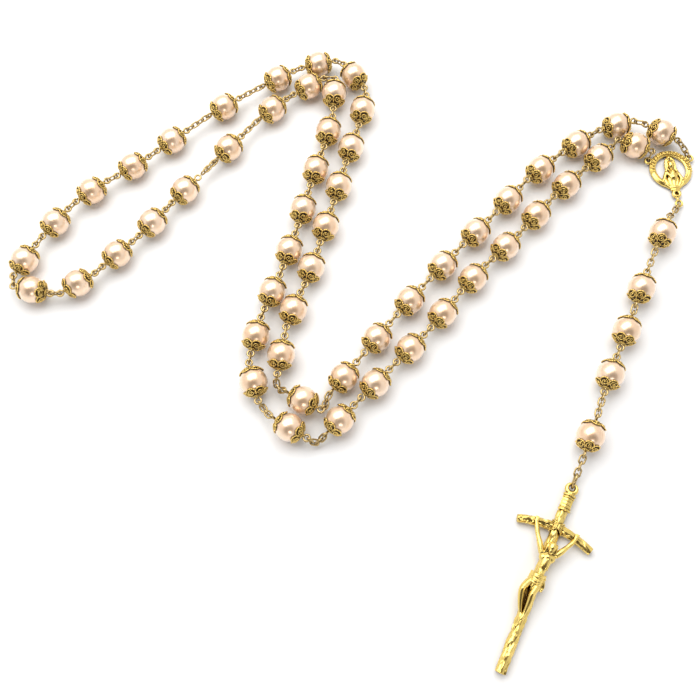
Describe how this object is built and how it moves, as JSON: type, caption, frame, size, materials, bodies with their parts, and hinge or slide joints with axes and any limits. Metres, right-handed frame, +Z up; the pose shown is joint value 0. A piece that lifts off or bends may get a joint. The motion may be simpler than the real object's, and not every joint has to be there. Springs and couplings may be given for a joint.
{
  "type": "rosary",
  "caption": "Rosary laid out on a table: pearl beads with filigree caps linked in a loop, a round centre medal, and a short drop of beads with a log-style crucifix.",
  "frame": {"origin": "on the table top, under the middle of the laid-out rosary's bounding box", "axes": "+Z up from the table, +X along the laid-out rosary's longer side towards the centre medal, +Y away from the crucifix, towards the far turn of the loop"},
  "size_m": [0.21, 0.1906, 0.008],
  "materials": {
    "pearl": "pearlescent champagne coat, glossy",
    "gold": "antiqued gold plate, satin on raised areas, dark brown in the recesses"
  },
  "bodies": {
    "medal": {"medal": "gold"},
    "crucifix": {"crucifix": "gold"},
    "drop_bead_1": {"drop_bead_1": "pearl"},
    "drop_bead_2": {"drop_bead_2": "pearl"},
    "drop_bead_3": {"drop_bead_3": "pearl"},
    "drop_bead_4": {"drop_bead_4": "pearl"},
    "drop_bead_5": {"drop_bead_5": "pearl"},
    "loop_bead_01": {"loop_bead_01": "pearl"},
    "loop_bead_02": {"loop_bead_02": "pearl"},
    "loop_bead_03": {"loop_bead_03": "pearl"},
    "loop_bead_04": {"loop_bead_04": "pearl"},
    "loop_bead_05": {"loop_bead_05": "pearl"},
    "loop_bead_06": {"loop_bead_06": "pearl"},
    "loop_bead_07": {"loop_bead_07": "pearl"},
    "loop_bead_08": {"loop_bead_08": "pearl"},
    "loop_bead_09": {"loop_bead_09": "pearl"},
    "loop_bead_10": {"loop_bead_10": "pearl"},
    "loop_bead_11": {"loop_bead_11": "pearl"},
    "loop_bead_12": {"loop_bead_12": "pearl"},
    "loop_bead_13": {"loop_bead_13": "pearl"},
    "loop_bead_14": {"loop_bead_14": "pearl"},
    "loop_bead_15": {"loop_bead_15": "pearl"},
    "loop_bead_16": {"loop_bead_16": "pearl"},
    "loop_bead_17": {"loop_bead_17": "pearl"},
    "loop_bead_18": {"loop_bead_18": "pearl"},
    "loop_bead_19": {"loop_bead_19": "pearl"},
    "loop_bead_20": {"loop_bead_20": "pearl"},
    "loop_bead_21": {"loop_bead_21": "pearl"},
    "loop_bead_22": {"loop_bead_22": "pearl"},
    "loop_bead_23": {"loop_bead_23": "pearl"},
    "loop_bead_24": {"loop_bead_24": "pearl"},
    "loop_bead_25": {"loop_bead_25": "pearl"},
    "loop_bead_26": {"loop_bead_26": "pearl"},
    "loop_bead_29": {"loop_bead_29": "pearl"},
    "loop_bead_30": {"loop_bead_30": "pearl"},
    "loop_bead_31": {"loop_bead_31": "pearl"},
    "loop_bead_32": {"loop_bead_32": "pearl"},
    "loop_bead_33": {"loop_bead_33": "pearl"},
    "loop_bead_34": {"loop_bead_34": "pearl"},
    "loop_bead_35": {"loop_bead_35": "pearl"},
    "loop_bead_36": {"loop_bead_36": "pearl"},
    "loop_bead_37": {"loop_bead_37": "pearl"},
    "loop_bead_38": {"loop_bead_38": "pearl"},
    "loop_bead_39": {"loop_bead_39": "pearl"},
    "loop_bead_40": {"loop_bead_40": "pearl"},
    "loop_bead_41": {"loop_bead_41": "pearl"},
    "loop_bead_42": {"loop_bead_42": "pearl"},
    "loop_bead_43": {"loop_bead_43": "pearl"},
    "loop_bead_44": {"loop_bead_44": "pearl"},
    "loop_bead_45": {"loop_bead_45": "pearl"},
    "loop_bead_46": {"loop_bead_46": "pearl"},
    "loop_bead_47": {"loop_bead_47": "pearl"},
    "loop_bead_48": {"loop_bead_48": "pearl"},
    "loop_bead_49": {"loop_bead_49": "pearl"},
    "loop_bead_50": {"loop_bead_50": "pearl"},
    "loop_bead_51": {"loop_bead_51": "pearl"},
    "loop_bead_52": {"loop_bead_52": "pearl"},
    "loop_bead_53": {"loop_bead_53": "pearl"},
    "loop_bead_54": {"loop_bead_54": "pearl"},
    "loop_beads_27_28": {"loop_beads_27_28": "pearl"}
  },
  "joints": [
    {"name": "loop_bead_01_lift", "type": "hinge", "parent": "medal", "child": "loop_bead_01", "pos_m": [0.10058, 0.06193, 0.00298], "axis": [0.7551, 0.6525, -0.0645], "range_deg": [0, 18]},
    {"name": "loop_bead_02_lift", "type": "hinge", "parent": "loop_bead_01", "child": "loop_bead_02", "pos_m": [0.08725, 0.06869, 0.00436], "axis": [-0.4545, -0.89, -0.0371], "range_deg": [-30, 30]},
    {"name": "loop_bead_03_lift", "type": "hinge", "parent": "loop_bead_02", "child": "loop_bead_03", "pos_m": [0.073, 0.0646, 0.004], "axis": [-0.5454, 0.8382, 0], "range_deg": [-30, 30]},
    {"name": "loop_bead_04_lift", "type": "hinge", "parent": "loop_bead_03", "child": "loop_bead_04", "pos_m": [0.06052, 0.05589, 0.004], "axis": [0.5938, -0.8046, 0], "range_deg": [-30, 30]},
    {"name": "loop_bead_05_lift", "type": "hinge", "parent": "loop_bead_04", "child": "loop_bead_05", "pos_m": [0.04922, 0.04573, 0.004], "axis": [-0.7438, 0.6684, 0], "range_deg": [-30, 30]},
    {"name": "loop_bead_06_lift", "type": "hinge", "parent": "loop_bead_05", "child": "loop_bead_06", "pos_m": [0.03894, 0.03451, 0.004], "axis": [0.7135, -0.7006, 0], "range_deg": [-30, 30]},
    {"name": "loop_bead_07_lift", "type": "hinge", "parent": "loop_bead_06", "child": "loop_bead_07", "pos_m": [0.02841, 0.02352, 0.004], "axis": [-0.7329, 0.6803, 0], "range_deg": [-30, 30]},
    {"name": "loop_bead_08_lift", "type": "hinge", "parent": "loop_bead_07", "child": "loop_bead_08", "pos_m": [0.01818, 0.01225, 0.004], "axis": [0.7449, -0.6672, 0], "range_deg": [-30, 30]},
    {"name": "loop_bead_09_lift", "type": "hinge", "parent": "loop_bead_08", "child": "loop_bead_09", "pos_m": [0.00828, 0.0007, 0.004], "axis": [-0.7731, 0.6343, 0], "range_deg": [-30, 30]},
    {"name": "loop_bead_10_lift", "type": "hinge", "parent": "loop_bead_09", "child": "loop_bead_10", "pos_m": [-0.00127, -0.01116, 0.00394], "axis": [0.7819, -0.6234, 0], "range_deg": [-30, 30]},
    {"name": "loop_bead_11_lift", "type": "hinge", "parent": "loop_bead_10", "child": "loop_bead_11", "pos_m": [-0.01115, -0.0252, 0.00415], "axis": [-0.7136, 0.7001, -0.0242], "range_deg": [-30, 30]},
    {"name": "loop_bead_12_lift", "type": "hinge", "parent": "loop_bead_11", "child": "loop_bead_12", "pos_m": [-0.0244, -0.01616, 0.00377], "axis": [-0.9878, 0.156, 0], "range_deg": [-30, 30]},
    {"name": "loop_bead_13_lift", "type": "hinge", "parent": "loop_bead_12", "child": "loop_bead_13", "pos_m": [-0.02221, -0.00192, 0.00401], "axis": [0.9926, -0.1218, -0.0002], "range_deg": [-30, 30]},
    {"name": "loop_bead_14_lift", "type": "hinge", "parent": "loop_bead_13", "child": "loop_bead_14", "pos_m": [-0.01734, 0.01162, 0.004], "axis": [-0.903, 0.4296, 0], "range_deg": [-30, 30]},
    {"name": "loop_bead_15_lift", "type": "hinge", "parent": "loop_bead_14", "child": "loop_bead_15", "pos_m": [-0.01287, 0.02532, 0.004], "axis": [0.9663, -0.2576, 0], "range_deg": [-30, 30]},
    {"name": "loop_bead_16_lift", "type": "hinge", "parent": "loop_bead_15", "child": "loop_bead_16", "pos_m": [-0.00887, 0.03917, 0.004], "axis": [-0.9605, 0.2782, 0], "range_deg": [-30, 30]},
    {"name": "loop_bead_17_lift", "type": "hinge", "parent": "loop_bead_16", "child": "loop_bead_17", "pos_m": [-0.00516, 0.05311, 0.004], "axis": [0.9677, -0.2519, 0], "range_deg": [-30, 30]},
    {"name": "loop_bead_18_lift", "type": "hinge", "parent": "loop_bead_17", "child": "loop_bead_18", "pos_m": [-0.0011, 0.06694, 0.004], "axis": [-0.9553, 0.2956, 0], "range_deg": [-30, 30]},
    {"name": "loop_bead_19_lift", "type": "hinge", "parent": "loop_bead_18", "child": "loop_bead_19", "pos_m": [0.00113, 0.08104, 0.004], "axis": [0.9815, 0.1915, 0], "range_deg": [-30, 30]},
    {"name": "loop_bead_20_lift", "type": "hinge", "parent": "loop_bead_19", "child": "loop_bead_20", "pos_m": [-0.00756, 0.09216, 0.004], "axis": [-0.4411, -0.8975, 0], "range_deg": [-30, 30]},
    {"name": "loop_bead_21_lift", "type": "hinge", "parent": "loop_bead_20", "child": "loop_bead_21", "pos_m": [-0.02132, 0.08884, 0.004], "axis": [-0.458, 0.889, 0], "range_deg": [-30, 30]},
    {"name": "loop_bead_22_lift", "type": "hinge", "parent": "loop_bead_21", "child": "loop_bead_22", "pos_m": [-0.03856, 0.07841, 0.004], "axis": [0.5431, -0.8397, 0], "range_deg": [-30, 30]},
    {"name": "loop_bead_23_lift", "type": "hinge", "parent": "loop_bead_22", "child": "loop_bead_23", "pos_m": [-0.05464, 0.06629, 0.004], "axis": [-0.6411, 0.7675, 0], "range_deg": [-30, 30]},
    {"name": "loop_bead_24_lift", "type": "hinge", "parent": "loop_bead_23", "child": "loop_bead_24", "pos_m": [-0.06594, 0.0567, 0.004], "axis": [0.6595, -0.7517, 0], "range_deg": [-30, 30]},
    {"name": "loop_bead_25_lift", "type": "hinge", "parent": "loop_bead_24", "child": "loop_bead_25", "pos_m": [-0.0779, 0.04798, 0.004], "axis": [-0.5165, 0.8563, 0], "range_deg": [-30, 30]},
    {"name": "loop_bead_26_lift", "type": "hinge", "parent": "loop_bead_25", "child": "loop_bead_26", "pos_m": [-0.08912, 0.03836, 0.004], "axis": [0.7607, -0.6491, 0], "range_deg": [-30, 30]},
    {"name": "loop_bead_27_lift", "type": "hinge", "parent": "loop_bead_26", "child": "loop_beads_27_28", "pos_m": [-0.09759, 0.02621, 0.004], "axis": [-0.8599, 0.5104, 0], "range_deg": [-30, 30]},
    {"name": "loop_bead_29_lift", "type": "hinge", "parent": "loop_beads_27_28", "child": "loop_bead_29", "pos_m": [-0.08962, 0.00951, 0.004], "axis": [0.0186, -0.9998, 0], "range_deg": [-30, 30]},
    {"name": "loop_bead_30_lift", "type": "hinge", "parent": "loop_bead_29", "child": "loop_bead_30", "pos_m": [-0.0779, 0.01758, 0.004], "axis": [-0.7277, 0.6859, 0], "range_deg": [-30, 30]},
    {"name": "loop_bead_31_lift", "type": "hinge", "parent": "loop_bead_30", "child": "loop_bead_31", "pos_m": [-0.06783, 0.02789, 0.004], "axis": [0.7256, -0.6881, 0], "range_deg": [-30, 30]},
    {"name": "loop_bead_32_lift", "type": "hinge", "parent": "loop_bead_31", "child": "loop_bead_32", "pos_m": [-0.0587, 0.03905, 0.004], "axis": [-0.7964, 0.6048, 0], "range_deg": [-30, 30]},
    {"name": "loop_bead_54_lift", "type": "hinge", "parent": "medal", "child": "loop_bead_54", "pos_m": [0.09123, 0.05793, 0.00297], "axis": [-0.9615, 0.2101, 0.1773], "range_deg": [0, 20]},
    {"name": "loop_bead_53_lift", "type": "hinge", "parent": "loop_bead_54", "child": "loop_bead_53", "pos_m": [0.07901, 0.06015, 0.00415], "axis": [-0.7182, 0.6958, -0.0021], "range_deg": [-30, 30]},
    {"name": "loop_bead_52_lift", "type": "hinge", "parent": "loop_bead_53", "child": "loop_bead_52", "pos_m": [0.06799, 0.05055, 0.00399], "axis": [0.6579, -0.7531, 0], "range_deg": [-30, 30]},
    {"name": "loop_bead_51_lift", "type": "hinge", "parent": "loop_bead_52", "child": "loop_bead_51", "pos_m": [0.05747, 0.04041, 0.004], "axis": [-0.7337, 0.6795, 0], "range_deg": [-30, 30]},
    {"name": "loop_bead_50_lift", "type": "hinge", "parent": "loop_bead_51", "child": "loop_bead_50", "pos_m": [0.04768, 0.02954, 0.004], "axis": [0.7477, -0.664, 0], "range_deg": [-30, 30]},
    {"name": "loop_bead_49_lift", "type": "hinge", "parent": "loop_bead_50", "child": "loop_bead_49", "pos_m": [0.03728, 0.01928, 0.004], "axis": [-0.6668, 0.7452, 0], "range_deg": [-30, 30]},
    {"name": "loop_bead_48_lift", "type": "hinge", "parent": "loop_bead_49", "child": "loop_bead_48", "pos_m": [0.02759, 0.00835, 0.004], "axis": [0.8013, -0.5982, 0], "range_deg": [-30, 30]},
    {"name": "loop_bead_47_lift", "type": "hinge", "parent": "loop_bead_48", "child": "loop_bead_47", "pos_m": [0.01824, -0.00288, 0.004], "axis": [-0.7318, 0.6815, 0], "range_deg": [-30, 30]},
    {"name": "loop_bead_46_lift", "type": "hinge", "parent": "loop_bead_47", "child": "loop_bead_46", "pos_m": [0.00812, -0.01343, 0.004], "axis": [0.7137, -0.7005, 0], "range_deg": [-30, 30]},
    {"name": "loop_bead_45_lift", "type": "hinge", "parent": "loop_bead_46", "child": "loop_bead_45", "pos_m": [-0.00196, -0.02402, 0.00417], "axis": [-0.7359, 0.6771, -0.0003], "range_deg": [-30, 30]},
    {"name": "loop_bead_44_lift", "type": "hinge", "parent": "loop_bead_45", "child": "loop_bead_44", "pos_m": [-0.01482, -0.03444, 0.00379], "axis": [-0.4902, -0.8716, -0.0012], "range_deg": [-30, 30]},
    {"name": "loop_bead_43_lift", "type": "hinge", "parent": "loop_bead_44", "child": "loop_bead_43", "pos_m": [-0.02889, -0.02396, 0.00363], "axis": [0.7788, 0.6268, 0.023], "range_deg": [-30, 30]},
    {"name": "loop_bead_42_lift", "type": "hinge", "parent": "loop_bead_43", "child": "loop_bead_42", "pos_m": [-0.03216, -0.01017, 0.004], "axis": [-0.9938, 0.111, 0], "range_deg": [-30, 30]},
    {"name": "loop_bead_41_lift", "type": "hinge", "parent": "loop_bead_42", "child": "loop_bead_41", "pos_m": [-0.02886, 0.00384, 0.004], "axis": [0.9377, -0.3475, 0], "range_deg": [-30, 30]},
    {"name": "loop_bead_40_lift", "type": "hinge", "parent": "loop_bead_41", "child": "loop_bead_40", "pos_m": [-0.02385, 0.01737, 0.004], "axis": [-0.9465, 0.3227, 0], "range_deg": [-30, 30]},
    {"name": "loop_bead_39_lift", "type": "hinge", "parent": "loop_bead_40", "child": "loop_bead_39", "pos_m": [-0.01965, 0.03116, 0.004], "axis": [0.9651, -0.262, 0], "range_deg": [-30, 30]},
    {"name": "loop_bead_38_lift", "type": "hinge", "parent": "loop_bead_39", "child": "loop_bead_38", "pos_m": [-0.01606, 0.04512, 0.004], "axis": [-0.972, 0.2349, 0], "range_deg": [-30, 30]},
    {"name": "loop_bead_37_lift", "type": "hinge", "parent": "loop_bead_38", "child": "loop_bead_37", "pos_m": [-0.01212, 0.05899, 0.004], "axis": [0.9458, -0.3248, 0], "range_deg": [-30, 30]},
    {"name": "loop_bead_36_lift", "type": "hinge", "parent": "loop_bead_37", "child": "loop_bead_36", "pos_m": [-0.00906, 0.07305, 0.004], "axis": [-0.9981, 0.0612, 0], "range_deg": [-30, 30]},
    {"name": "loop_bead_35_lift", "type": "hinge", "parent": "loop_bead_36", "child": "loop_bead_35", "pos_m": [-0.01129, 0.08558, 0.004], "axis": [0.0522, 0.9986, 0], "range_deg": [-25, 25]},
    {"name": "loop_bead_34_lift", "type": "hinge", "parent": "loop_bead_35", "child": "loop_bead_34", "pos_m": [-0.02347, 0.07818, 0.004], "axis": [0.5824, -0.8129, 0], "range_deg": [-30, 30]},
    {"name": "loop_bead_33_lift", "type": "hinge", "parent": "loop_bead_34", "child": "loop_bead_33", "pos_m": [-0.03743, 0.06427, 0.004], "axis": [-0.7637, 0.6455, 0], "range_deg": [-30, 30]},
    {"name": "drop_bead_1_swing", "type": "hinge", "parent": "medal", "child": "drop_bead_1", "pos_m": [0.09364, 0.03531, 0.00352], "axis": [0, 0, 1], "range_deg": [-20, 55]},
    {"name": "drop_bead_2_lift", "type": "hinge", "parent": "drop_bead_1", "child": "drop_bead_2", "pos_m": [0.08485, 0.01727, 0.004], "axis": [-0.9072, 0.4207, 0], "range_deg": [-40, 40]},
    {"name": "drop_bead_3_swing", "type": "hinge", "parent": "drop_bead_2", "child": "drop_bead_3", "pos_m": [0.07904, 0.00385, 0.004], "axis": [0, 0, 1], "range_deg": [-35, 35]},
    {"name": "drop_bead_4_lift", "type": "hinge", "parent": "drop_bead_3", "child": "drop_bead_4", "pos_m": [0.07298, -0.00945, 0.004], "axis": [-0.8965, 0.443, 0], "range_deg": [-40, 40]},
    {"name": "drop_bead_5_swing", "type": "hinge", "parent": "drop_bead_4", "child": "drop_bead_5", "pos_m": [0.06547, -0.02728, 0.00405], "axis": [0, 0, 1], "range_deg": [-35, 35]},
    {"name": "crucifix_lift", "type": "hinge", "parent": "drop_bead_5", "child": "crucifix", "pos_m": [0.05742, -0.04648, 0.00179], "axis": [-0.9283, 0.3718, 0], "range_deg": [-50, 50]}
  ]
}
